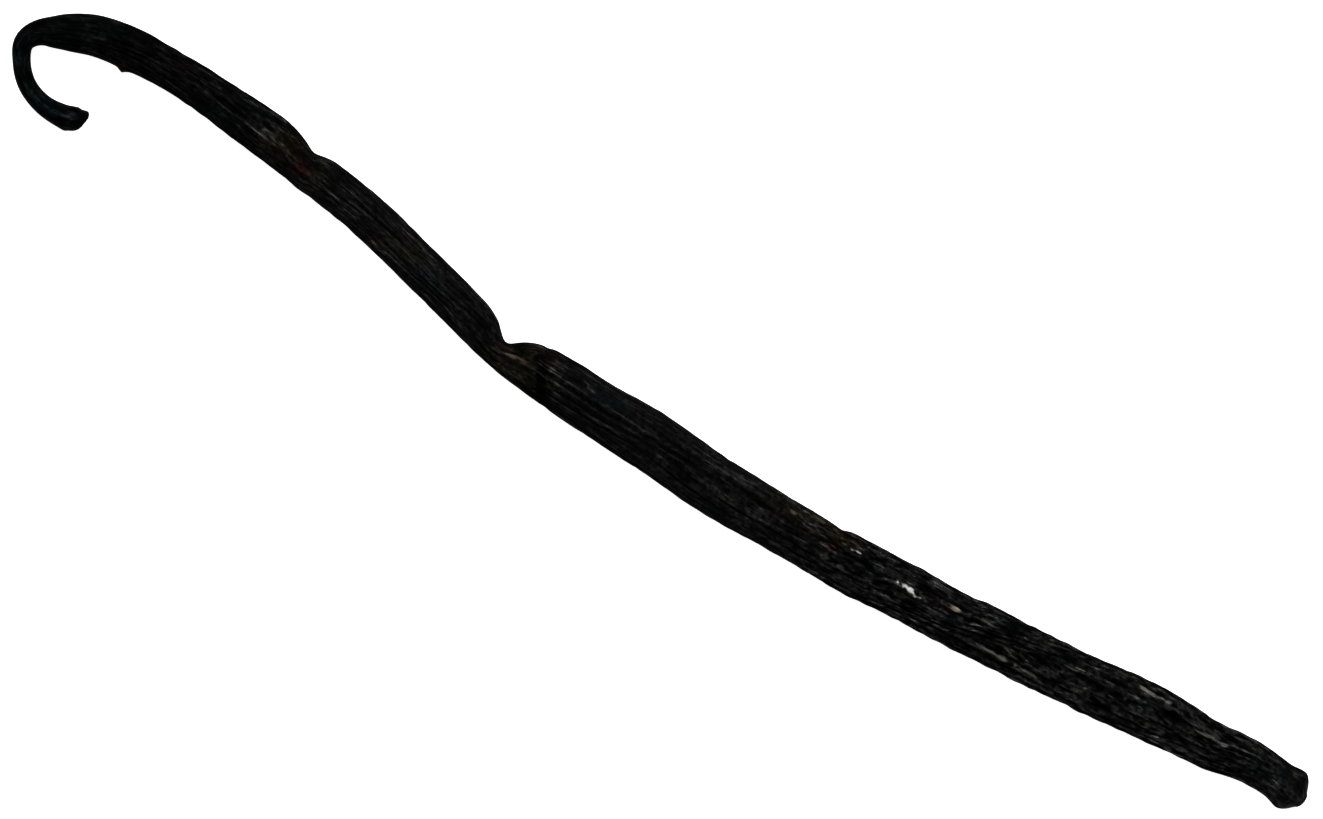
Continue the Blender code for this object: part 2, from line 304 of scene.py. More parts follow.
    # Creases of the three folds, and how far to each side of one the rows of points lean along it
    creases: tuple[Crease, ...] = (
        Crease(47.4, 1.5, 0.34, 0.25, 1.0),
        Crease(77.4, 3.4, 0.45, 0.75, 1.2),
        Crease(119.6, 2.2, 0.22, 0.10, 0.9),
    )
    lean_reach: float = 9.0
    # Taut ridge of skin that runs along the top into the deepest crease
    taut: Bell = Bell(79.2, 1.55, 0.28, 2.4, 0.30, 4.0)
    # Faint lobes over the three seed walls, which turn slowly round the pod
    lobes: int = 3
    lobe_height: float = 0.10
    lobe_twist: float = 240.0
    lobes_start: Span = (16.0, 26.0)
    # The knob at the blossom end has flat sides
    knob_sides: int = 5
    knob_start: Span = (173.5, 176.5)
    knob_share: float = 0.65
    knob_bearing: float = 0.35

    def middle_line(self, stations: np.ndarray) -> tuple[np.ndarray, np.ndarray]:
        """Points of the middle line, read by length along a smooth curve through its marks.

        Args:
            stations: stations to read it at.

        Returns:
            The point and the unit heading at each station, as (x, y).
        """
        line = np.array(self.line) - np.array(self.box_middle)
        marks = np.concatenate([[0.0], np.cumsum(np.hypot(*np.diff(line, axis=0).T))])
        along = np.linspace(0.0, marks[-1], self.line_steps)
        points = smooth_through(marks, line, along, level_peaks=False)
        lengths = np.concatenate([[0.0], np.cumsum(np.hypot(*np.diff(points, axis=0).T))])
        headings = np.gradient(points, lengths, axis=0)
        point = np.stack([np.interp(stations, lengths, points[:, k]) for k in (0, 1)], axis=-1)
        heading = np.stack([np.interp(stations, lengths, headings[:, k]) for k in (0, 1)], axis=-1)
        return point, heading / np.linalg.norm(heading, axis=-1, keepdims=True)

    def wandered(self, stations: np.ndarray, bearings: np.ndarray) -> np.ndarray:
        """Angles of the points: their bearings, moved round the pod by the sum of the wandering waves."""
        return bearings + sum(moved * wave.height(stations, bearings) for moved, wave in self.wanderings)

    def leaning(self, rows: np.ndarray, angles: np.ndarray) -> np.ndarray:
        """Stations of a row's points: they lean along a crease's slant by a bell curve of the distance."""
        lean = sum(
            crease.half_slant * np.exp(-(((rows - crease.station) / self.lean_reach) ** 2))
            for crease in self.creases
        )
        return rows + lean * (1 - np.cos(angles))

    def pressed(self, angles: np.ndarray) -> np.ndarray:
        """Share of the wrinkles that is left: 0 in the middle of the underside, and 1 elsewhere."""
        return 1 - ramp(np.sin(angles), *self.underside_smooth)

    def wrinkle_depth(self, stations: np.ndarray, bearings: np.ndarray, angles: np.ndarray) -> np.ndarray:
        """Depth below the crests: the square of the distance to a crest, times the depth there and its fades.

        Args:
            stations: stations of the points.
            bearings: bearings of the points.
            angles: angles of the points.

        Returns:
            0 on a crest, and deepest in the valley between two.
        """
        place = (self.wrinkles * bearings / TURN) % 1.0
        valley = (2 * place - 1) ** 2
        product = self.fades[0].height(stations, bearings) * self.fades[1].height(stations, bearings)
        fade = 1 + self.fade_share * (product - 1)
        left = 1 - self.left_smoothness * ramp(np.cos(angles), *self.left_smooth)
        return at_stations(self.wrinkle_depths, stations)[0] * valley * fade * left * self.pressed(angles)

    def raised(self, stations: np.ndarray, angles: np.ndarray) -> np.ndarray:
        """Height of the taut ridge, a flat-topped bell, and of the lobes, a cosine, less the creases' depth.

        Args:
            stations: stations of the points.
            angles: angles of the points.

        Returns:
            How far each point stands out of the oval section.
        """
        fade = ramp(stations, *self.lobes_start) * (1 - ramp(stations, *self.knob_start))
        turned = self.lobes * angles + TURN * stations / self.lobe_twist
        sunk = sum(crease.depth_at(stations, angles) for crease in self.creases)
        return self.taut.height_at(stations, angles) + self.lobe_height * fade * np.cos(turned) - sunk

    def knob(self, stations: np.ndarray, angles: np.ndarray) -> np.ndarray:
        """Share of the radius left by the knob's flat sides: a polygon's radius, swollen to keep the width.

        Args:
            stations: stations of the points.
            angles: angles of the points.

        Returns:
            What each point's distance from the middle is multiplied by.
        """
        side = TURN / self.knob_sides
        within = (angles - self.knob_bearing) % side - side / 2
        flat = np.cos(side / 2) / np.cos(within)
        share = self.knob_share * ramp(stations, *self.knob_start)
        return 1 + share * (flat / np.cos(side / 4) - 1)


@dataclass(frozen=True)
class FineSkin:
    """Small forms of the dried skin, which the solid leaves out."""

    # Share of the small creases at each station: the stalk is nearly smooth
    shares: Table = (
        (0.0, 0.05), (12.0, 0.10), (17.0, 0.22), (24.0, 0.50), (34.0, 0.85), (46.0, 1.0), (74.0, 0.85),
        (84.0, 0.9), (112.0, 1.0), (122.0, 1.2), (160.0, 1.2), (173.0, 0.5), (178.5, 0.25),
    )
    long_creases: SkinNoise = SkinNoise(seed=11, cells_round=42, cell_length=7.5)
    long_depth: float = 0.11
    short_creases: SkinNoise = SkinNoise(seed=12, cells_round=62, cell_length=4.2)
    short_depth: float = 0.045
    crease_width: float = 0.30
    # Crumples across the wrinkles break them into beads, most of all towards the blossom end
    crumples: SkinNoise = SkinNoise(seed=13, cells_round=36, cell_length=1.4)
    crumple_height: float = 0.085
    crumple_shares: Table = (
        (0.0, 0.1), (20.0, 0.3), (30.0, 0.5), (44.0, 0.8), (52.0, 0.5), (76.0, 0.5), (88.0, 0.4),
        (106.0, 0.6), (118.0, 1.1), (150.0, 1.2), (170.0, 0.9), (178.5, 1.0),
    )
    swells: SkinNoise = SkinNoise(seed=14, cells_round=7, cell_length=6.5)
    swell_height: float = 0.055
    relief_start: Span = (8.0, 22.0)
    # Grooves behind the torn rim of the stalk, and behind the taut ridge of the deepest fold
    grooves: tuple[Crease, ...] = (
        Crease(0.60, 0.0, 0.05, 2.6, 0.26),
        Crease(81.5, 1.5, 0.16, 0.55, 0.50),
    )
    # A dried wedge on the right edge near the neck, and skin that evens this edge out at the deepest fold
    bells: tuple[Bell, ...] = (
        Bell(24.6, math.pi, 0.52, 0.60, 0.42, 1.5),
        Bell(84.3, math.pi, 0.30, 1.15, 0.60, 2.0),
    )
    # How far the left and the right corner of the torn end are drawn back
    corner_retreats: Span = (0.34, 0.28)
    # Even power of the cosine of the angle: the higher it is, the narrower the corners are
    corner_narrowness: int = 4

    def grooved(self, stations: np.ndarray, angles: np.ndarray) -> np.ndarray:
        """Depth of the two grooves together."""
        return sum(groove.depth_at(stations, angles) for groove in self.grooves)

    def retreat(self, angles: np.ndarray) -> np.ndarray:
        """How far the torn end is drawn back: a power of the cosine, changing evenly from left to right.

        Args:
            angles: angles of the points.

        Returns:
            How far each point moves towards the blossom end.
        """
        left, right = self.corner_retreats
        most = right + (left - right) * (1 + np.cos(angles)) / 2
        return most * np.cos(angles) ** self.corner_narrowness

    def sunk(self, stations: np.ndarray, bearings: np.ndarray) -> np.ndarray:
        """Depth of the small creases: narrow wandering lines of two sizes.

        Args:
            stations: stations of the points.
            bearings: bearings of the points.

        Returns:
            How deep each point lies below the wrinkled skin.
        """
        long = self.long_depth * self.long_creases.creases(stations, bearings, self.crease_width)
        short = self.short_depth * self.short_creases.creases(stations, bearings, self.crease_width)
        return (long + short) * at_stations(self.shares, stations)[0]

    def raised(self, stations: np.ndarray, bearings: np.ndarray, angles: np.ndarray) -> np.ndarray:
        """Height of the crumples and swells, which are noise, and of the two bells.

        Args:
            stations: stations of the points.
            bearings: bearings of the points.
            angles: angles of the points.

        Returns:
            How far each point stands out of the wrinkled skin.
        """
        crumples = self.crumple_height * self.crumples.height(stations, bearings)
        swells = self.swell_height * self.swells.height(stations, bearings)
        relief = crumples * at_stations(self.crumple_shares, stations)[0] + swells
        bells = sum(bell.height_at(stations, angles) for bell in self.bells)
        return relief * ramp(stations, *self.relief_start) + bells


@dataclass(frozen=True)
class ClosedEnd:
    """How an end of the pod closes: rings drawn in towards its middle, roughened by seeded noise."""

    # From the rim inwards: share of the rim's radius, and how far the ring moves towards the blossom end
    rings: Table
    # How far the middle moves that way
    middle: float
    # What the finish reads on all the rings: how hollow they are, which darkens them with painted shade, and
    # their painted light and oil
    hollow: float
    sheen_and_oil: float
    # Noise of the rings, with this many of them to each of its cells, and its height in millimetres
    noise: SkinNoise = SkinNoise(seed=15, cells_round=22, cell_length=0.8)
    rings_per_cell: int = 2
    roughness: float = 0.10

    def points(self, rim: np.ndarray, heading: np.ndarray, bearings: np.ndarray) -> np.ndarray:
        """Draws the rim in by each ring's share, and moves it along the pod by its distance and the noise.

        Args:
            rim: the first or last row of skin points.
            heading: unit heading of the pod there.
            bearings: bearings of the rim's points.

        Returns:
            Rows of points from the one next to the rim to the middle point, which fills the last row.
        """
        shares, moved = np.array(self.rings).T[..., None, None]
        centre = rim.mean(axis=0)
        depth = np.arange(len(self.rings))[:, None] * self.noise.cell_length / self.rings_per_cell
        rough = self.roughness * self.noise.height(depth, bearings)[..., None]
        rings = centre + shares * (rim - centre) + (moved + shares * rough) * heading
        middle = np.broadcast_to(centre + self.middle * heading, rim.shape)
        return np.concatenate([rings, middle[None]])

    def drawn_in(self, rim: np.ndarray) -> np.ndarray:
        """Grain of the rings: the rim's, with its part across the pod drawn in by the rings' shares."""
        shares = np.append([share for share, _ in self.rings], 0.0)[:, None, None]
        return rim * np.array([1.0, 0.0, 0.0]) + shares * rim * np.array([0.0, 1.0, 1.0])

    def carried(self, rim: np.ndarray) -> np.ndarray:
        """The rim's values, repeated for each ring and the middle."""
        return np.repeat(rim[None], len(self.rings) + 1, axis=0)

    def level(self, value: float, columns: int) -> np.ndarray:
        """One value for each ring and the middle."""
        return np.full((len(self.rings) + 1, columns), value)


class Tint(Enum):
    """Colours that the skin takes in places, as linear red, green and blue. The pale, white and pale slate
    ones are painted sheen and glints, and the shade one is painted shadow.
    """

    OLIVE = (0.030, 0.027, 0.0145)
    CREAM = (0.150, 0.133, 0.080)
    RED_BROWN = (0.040, 0.0105, 0.0100)
    CRIMSON = (0.090, 0.020, 0.021)
    PINK = (0.200, 0.105, 0.105)
    GREEN_BLACK = (0.0030, 0.0080, 0.0062)
    SLATE = (0.0068, 0.0125, 0.0160)
    # Painted sheen on the stalk's tip and before the knob
    SLATE_SHEEN = (0.024, 0.032, 0.038)
    TEAL = (0.0065, 0.0145, 0.0145)
    PURPLE = (0.017, 0.011, 0.016)
    AMBER = (0.240, 0.170, 0.095)
    # Painted sheen and glints
    GREY_SHEEN = (0.190, 0.186, 0.179)
    # Painted glints
    WHITE_GLINT = (0.600, 0.590, 0.565)
    SHADE = (0.0014, 0.0014, 0.0011)


@dataclass(frozen=True)
class Patch:
    """A place where the skin takes a tint, or painted sheen or shade: its middle, half its length and half its
    width round the pod.
    """

    tint: Tint
    station: float
    angle: float
    half_length: float
    half_width: float
    share: float = 1.0
    # How far noise moves the edge, and how steep the edge is
    raggedness: float = 0.7
    steepness: float = 3.0

    def share_at(self, stations: np.ndarray, angles: np.ndarray, ragged: np.ndarray) -> np.ndarray:
        """Share of the tint: a flat-topped bell round the middle, with its edge moved in and out by ragged.

        Args:
            stations: stations of the points.
            angles: angles of the points.
            ragged: noise that moves the edge.

        Returns:
            A share from 0 to 1 for each point.
        """
        along = (stations - self.station) / self.half_length
        across = (angles - self.angle) / self.half_width
        reach = np.hypot(along, across) + self.raggedness * ragged
        return self.share * np.exp(-np.clip(reach, 0.0, None) ** self.steepness)


@dataclass(frozen=True)
class GlintRun:
    """A run of small flecks along a wrinkle, from its first station and angle to its last: pale and white ones
    are painted glints, shade ones painted shadow.
    """

    tint: Tint
    first: Span
    last: Span
    count: int
    half_length: float
    half_width: float
    share: float
    seed: int
    # How far the draws move a fleck along and round the pod, and the share by which they change it
    aside: float = 0.30
    over: float = 0.045
    varied: float = 0.45

    def flecks(self) -> list[Patch]:
        """Spaces the flecks evenly, then moves, sizes and weakens each one by seeded draws.

        Returns:
            The flecks as small patches.
        """
        draw = np.random.default_rng(self.seed)
        places = np.linspace(self.first, self.last, self.count)
        made = []
        for station, angle in places:
            aside, over, longer, wider, weaker = draw.uniform(-1.0, 1.0, 5)
            made.append(
                Patch(
                    self.tint,
                    station + self.aside * aside,
                    angle + self.over * over,
                    self.half_length * (1 + self.varied * longer),
                    self.half_width * (1 + self.varied * wider),
                    self.share * (1 - self.varied * (weaker + 1) / 2),
                )
            )
        return made


# The tinted places, with painted sheen and painted shade among them: station and angle of the middle, half
# length, half width and share
PATCHES = (
    Patch(Tint.GREEN_BLACK, 0.1, 1.6, 0.6, 3.0, 0.9),
    # Painted sheen at the stalk's tip
    Patch(Tint.SLATE_SHEEN, 1.2, 1.65, 0.6, 0.60, 0.65),
    Patch(Tint.GREEN_BLACK, 2.5, 1.70, 0.6, 0.80, 0.60),
    Patch(Tint.SLATE, 3.6, 1.9, 1.7, 1.4, 0.95),
    Patch(Tint.TEAL, 6.1, 1.6, 1.2, 1.5, 0.8),
    Patch(Tint.GREEN_BLACK, 8.3, 1.6, 1.2, 2.5, 0.85),
    Patch(Tint.TEAL, 10.0, 1.3, 0.9, 1.4, 0.8),
    Patch(Tint.SLATE, 11.6, 1.6, 1.1, 1.5, 0.7),
    Patch(Tint.GREEN_BLACK, 16.8, 2.1, 2.6, 1.0, 0.9),
    Patch(Tint.GREEN_BLACK, 20.8, 1.1, 3.2, 0.6, 0.7),
    Patch(Tint.GREEN_BLACK, 36.4, 2.3, 3.2, 0.55, 0.8),
    Patch(Tint.RED_BROWN, 24.6, math.pi, 0.8, 0.45, 0.60),
    Patch(Tint.PURPLE, 31.0, 1.1, 1.8, 0.3, 0.4),
    Patch(Tint.TEAL, 40.0, 0.8, 2.0, 0.35, 0.5),
    Patch(Tint.OLIVE, 44.9, 1.2, 2.0, 0.75, 0.7),
    Patch(Tint.OLIVE, 49.4, 1.6, 1.2, 0.7, 0.55),
    Patch(Tint.RED_BROWN, 47.4, 1.62, 1.1, 0.55, 0.55),
    Patch(Tint.PURPLE, 57.5, 0.9, 3.0, 0.3, 0.4),
    Patch(Tint.OLIVE, 62.6, 1.3, 1.3, 0.9, 0.45),
    Patch(Tint.TEAL, 66.5, 1.7, 2.6, 0.5, 0.5),
    Patch(Tint.SHADE, 51.6, 1.25, 1.4, 0.65, 0.55),
    Patch(Tint.RED_BROWN, 59.0, 2.3, 1.0, 0.25, 0.2),
    # A band of painted sheen
    Patch(Tint.GREY_SHEEN, 60.2, 1.62, 2.8, 0.13, 0.14),
    Patch(Tint.OLIVE, 80.2, 2.0, 2.7, 0.8, 0.50),
    Patch(Tint.OLIVE, 81.4, 0.9, 1.6, 0.5, 0.6),
    Patch(Tint.RED_BROWN, 83.0, 0.85, 1.2, 0.25, 0.2),
    Patch(Tint.RED_BROWN, 77.3, 1.25, 0.8, 0.35, 0.45),
    Patch(Tint.TEAL, 90.8, 1.05, 2.2, 0.30, 0.8),
    Patch(Tint.PURPLE, 93.5, 1.0, 1.2, 0.25, 0.4),
    Patch(Tint.TEAL, 107.0, 2.55, 1.6, 0.22, 0.7),
    Patch(Tint.OLIVE, 114.8, 0.75, 3.2, 0.5, 0.60),
    Patch(Tint.OLIVE, 119.6, 0.65, 1.8, 0.45, 0.8),
    Patch(Tint.RED_BROWN, 119.7, 1.25, 0.8, 0.20, 0.65),
    Patch(Tint.TEAL, 124.3, 1.35, 1.3, 0.30, 0.7),
    Patch(Tint.SLATE, 135.0, 1.7, 0.9, 0.2, 0.7),
    Patch(Tint.GREEN_BLACK, 141.0, 0.8, 2.6, 0.35, 0.7),
    Patch(Tint.GREEN_BLACK, 148.6, 0.9, 1.6, 0.3, 0.7),
    Patch(Tint.SLATE, 158.2, 1.45, 1.4, 0.22, 0.8),
    Patch(Tint.SLATE, 171.0, 1.35, 0.9, 0.22, 0.7),
    Patch(Tint.GREEN_BLACK, 172.8, 1.8, 1.8, 0.5, 0.7),
    # Painted sheen before the knob
    Patch(Tint.SLATE_SHEEN, 174.8, 1.45, 1.1, 0.35, 0.5),
    Patch(Tint.GREEN_BLACK, 176.6, 1.0, 0.9, 0.5, 0.2),
)
# The runs of flecks, most of them painted glints and one painted shadow: first and last station and angle,
# count, half length, half width, share and seed
GLINT_RUNS = (
    GlintRun(Tint.CREAM, (42.9, 0.96), (44.1, 1.04), 2, 0.50, 0.10, 0.50, 21),
    GlintRun(Tint.CREAM, (43.0, 1.34), (44.6, 1.46), 3, 0.50, 0.10, 0.45, 22),
    GlintRun(Tint.CREAM, (44.0, 1.66), (45.6, 1.86), 3, 0.50, 0.09, 0.65, 23),
    GlintRun(Tint.CRIMSON, (46.9, 1.50), (47.9, 1.80), 4, 0.40, 0.12, 0.38, 24),
    GlintRun(Tint.CREAM, (77.7, 1.34), (80.8, 1.56), 8, 0.70, 0.10, 0.38, 25),
    GlintRun(Tint.SHADE, (81.3, 0.95), (83.8, 2.50), 9, 0.75, 0.24, 1.10, 51),
    GlintRun(Tint.GREY_SHEEN, (87.0, 1.06), (88.6, 1.14), 4, 0.45, 0.09, 0.46, 26),
    GlintRun(Tint.GREY_SHEEN, (101.8, 1.30), (104.6, 1.25), 5, 0.50, 0.05, 0.32, 27),
    GlintRun(Tint.PINK, (119.4, 1.27), (120.1, 1.33), 2, 0.30, 0.06, 0.65, 28),
    GlintRun(Tint.AMBER, (120.8, 1.00), (122.3, 0.72), 4, 0.42, 0.06, 0.60, 29),
    GlintRun(Tint.WHITE_GLINT, (121.8, 1.10), (122.6, 1.08), 3, 0.36, 0.07, 0.60, 30),
    GlintRun(Tint.WHITE_GLINT, (127.5, 1.42), (128.4, 1.44), 3, 0.26, 0.06, 0.50, 31),
    GlintRun(Tint.WHITE_GLINT, (128.8, 1.38), (130.3, 1.56), 6, 0.34, 0.085, 0.90, 32),
    GlintRun(Tint.GREY_SHEEN, (132.6, 0.88), (133.6, 0.90), 2, 0.35, 0.06, 0.60, 33),
    GlintRun(Tint.AMBER, (133.3, 1.16), (134.6, 1.20), 3, 0.48, 0.10, 0.80, 34),
    GlintRun(Tint.WHITE_GLINT, (134.9, 1.20), (135.6, 1.22), 2, 0.35, 0.08, 0.55, 35),
    GlintRun(Tint.GREY_SHEEN, (137.8, 1.18), (140.0, 1.24), 4, 0.40, 0.06, 0.50, 36),
    GlintRun(Tint.GREY_SHEEN, (142.9, 1.02), (143.5, 1.02), 2, 0.28, 0.07, 0.85, 37),
    GlintRun(Tint.GREY_SHEEN, (142.2, 1.62), (143.3, 1.66), 3, 0.32, 0.06, 0.55, 38),
    GlintRun(Tint.GREY_SHEEN, (138.6, 2.06), (146.0, 2.20), 16, 0.45, 0.070, 0.70, 39),
    GlintRun(Tint.GREY_SHEEN, (148.6, 1.28), (149.3, 1.30), 2, 0.32, 0.08, 0.85, 40),
    GlintRun(Tint.GREY_SHEEN, (148.2, 2.10), (150.2, 2.10), 4, 0.35, 0.05, 0.55, 41),
    GlintRun(Tint.GREY_SHEEN, (157.0, 0.86), (160.6, 0.90), 8, 0.50, 0.085, 0.95, 42),
    GlintRun(Tint.GREY_SHEEN, (155.4, 1.24), (157.8, 1.30), 5, 0.42, 0.060, 0.60, 43),
    GlintRun(Tint.GREY_SHEEN, (156.0, 1.52), (159.4, 1.54), 6, 0.42, 0.060, 0.50, 44),
    GlintRun(Tint.GREY_SHEEN, (164.4, 1.26), (168.2, 1.32), 9, 0.50, 0.085, 0.75, 45),
    GlintRun(Tint.GREY_SHEEN, (165.0, 1.58), (167.4, 1.60), 4, 0.45, 0.060, 0.50, 46),
    GlintRun(Tint.GREY_SHEEN, (168.6, 1.20), (172.8, 1.24), 7, 0.50, 0.060, 0.50, 47),
    GlintRun(Tint.GREY_SHEEN, (59.0, 2.42), (61.4, 2.46), 5, 0.50, 0.090, 0.66, 49),
    GlintRun(Tint.GREY_SHEEN, (18.6, 1.90), (22.2, 2.02), 3, 0.45, 0.12, 0.30, 50),
)


class Mixed(Enum):
    """What a mix node mixes: its data type, and the places of its first value, second value and result."""

    COLOURS = ("RGBA", 6, 7, 2)
    NUMBERS = ("FLOAT", 2, 3, 0)


class NodeBench:
    """Makes the nodes of one material. Each method adds a node and gives back its output."""

    def __init__(self, tree: bpy.types.NodeTree) -> None:
        """Keeps the tree that the nodes go into."""
        self.tree = tree

    def put(self, socket: Socket, value: Socket | float | Colour) -> None:
        """Sets an input to a value, or links it if the value is another node's output.

        Args:
            socket: the input.
            value: a number, a colour or an output.
        """
        if isinstance(value, bpy.types.NodeSocket):
            self.tree.links.new(value, socket)
        elif socket.type == "RGBA":
            socket.default_value = (*value, 1.0)
        else:
            socket.default_value = value

    def attribute(self, name: str, output: str) -> Socket:
        """Reads an attribute of the mesh.

        Args:
            name: name of the attribute.
            output: which output of the node to give back.

        Returns:
            That output.
        """
        node = self.tree.nodes.new("ShaderNodeAttribute")
        node.attribute_name = name
        return node.outputs[output]

    def math(self, operation: str, *values: Socket | float, clamp: bool = False) -> Socket:
        """Adds, multiplies or otherwise joins two or three numbers.

        Args:
            operation: name of the operation.
            values: the numbers, in the operation's order.
            clamp: keeps the result from 0 to 1.

        Returns:
            The result.
        """
        node = self.tree.nodes.new("ShaderNodeMath")
        node.operation = operation
        node.use_clamp = clamp
        for socket, value in zip(node.inputs, values):
            self.put(socket, value)
        return node.outputs[0]

    def spread(self, value: Socket, span: Span) -> Socket:
        """Spreads a span of values over 0 to 1, with smooth ends.

        Args:
            value: the value.
            span: the values that become 0 and 1.

        Returns:
            The value between them, from 0 to 1.
        """
        node = self.tree.nodes.new("ShaderNodeMapRange")
        node.interpolation_type = "SMOOTHSTEP"
        self.put(node.inputs["Value"], value)
        node.inputs["From Min"].default_value, node.inputs["From Max"].default_value = span
        return node.outputs["Result"]

    def mix(
        self, kind: Mixed, share: Socket | float, a: Socket | float | Colour, b: Socket | float | Colour
    ) -> Socket:
        """Mixes b into a.

        Args:
            kind: whether a and b are colours or numbers.
            share: share of b, from 0 to 1.
            a: the first colour or number.
            b: the second colour or number.

        Returns:
            The mixture.
        """
        node = self.tree.nodes.new("ShaderNodeMix")
        node.data_type, first, second, result = kind.value
        self.put(node.inputs[0], share)
        self.put(node.inputs[first], a)
        self.put(node.inputs[second], b)
        return node.outputs[result]

    def scaled(self, vector: Socket, factor: Socket) -> Socket:
        """Multiplies a colour by a number.

        Args:
            vector: the colour.
            factor: the number.

        Returns:
            The product.
        """
        node = self.tree.nodes.new("ShaderNodeVectorMath")
        node.operation = "SCALE"
        self.put(node.inputs[0], vector)
        self.put(node.inputs["Scale"], factor)
        return node.outputs[0]

    def noise(self, grain: Socket, size: Span, detail: float) -> Socket:
        """Makes smooth noise in cells that are stretched along the pod.

        Args:
            grain: place along and round the pod.
            size: length of a cell along the pod and its width across it, in millimetres.
            detail: how many finer noises are added.

        Returns:
            The noise, from 0 to 1.
        """
        stretched = self.tree.nodes.new("ShaderNodeVectorMath")
        stretched.operation = "MULTIPLY"
        self.put(stretched.inputs[0], grain)
        stretched.inputs[1].default_value = (1 / size[0], 1 / size[1], 1 / size[1])
        node = self.tree.nodes.new("ShaderNodeTexNoise")
        self.put(node.inputs["Vector"], stretched.outputs[0])
        node.inputs["Scale"].default_value = 1.0
        node.inputs["Detail"].default_value = detail
        return node.outputs[0]

    def bump(self, height: Socket, distance: float) -> Socket:
        """Bends the normal by a height.

        Args:
            height: the height, from 0 to 1.
            distance: what the height 1 stands for, in metres.

        Returns:
            The bent normal.
        """
        node = self.tree.nodes.new("ShaderNodeBump")
        node.inputs["Strength"].default_value = 1.0
        node.inputs["Distance"].default_value = distance
        self.put(node.inputs["Height"], height)
        return node.outputs[0]


